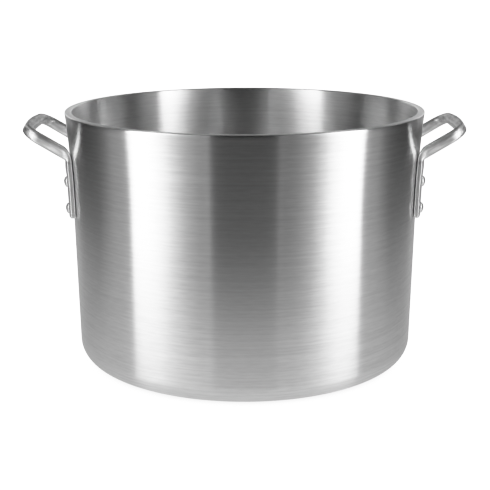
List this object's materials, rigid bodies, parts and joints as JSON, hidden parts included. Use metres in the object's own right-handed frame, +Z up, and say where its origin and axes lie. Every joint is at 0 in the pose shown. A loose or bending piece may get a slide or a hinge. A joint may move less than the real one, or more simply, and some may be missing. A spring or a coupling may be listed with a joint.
{
  "type": "stock pot",
  "caption": "Heavy brushed aluminium stock pot with a thick rim, a rounded bottom corner and two riveted loop handles.",
  "frame": {"origin": "on the pot's axis, at the middle of the flat underside that it rests on", "axes": "+Z up along the pot's axis, +X towards the right handle, -Y towards the front"},
  "size_m": [0.549, 0.45, 0.3175],
  "materials": {
    "brushed_aluminium": "bare metal, brushed in fine level lines around the wall",
    "polished_aluminium": "bare metal, tumbled and softly polished",
    "rivet_aluminium": "bare metal, satin"
  },
  "bodies": {
    "root": {"pot_body": "brushed_aluminium", "handle_left": "polished_aluminium", "handle_right": "polished_aluminium", "rivet_left_front_upper": "rivet_aluminium", "rivet_left_front_lower": "rivet_aluminium", "rivet_left_back_upper": "rivet_aluminium", "rivet_left_back_lower": "rivet_aluminium", "rivet_right_front_upper": "rivet_aluminium", "rivet_right_front_lower": "rivet_aluminium", "rivet_right_back_upper": "rivet_aluminium", "rivet_right_back_lower": "rivet_aluminium"}
  },
  "joints": []
}
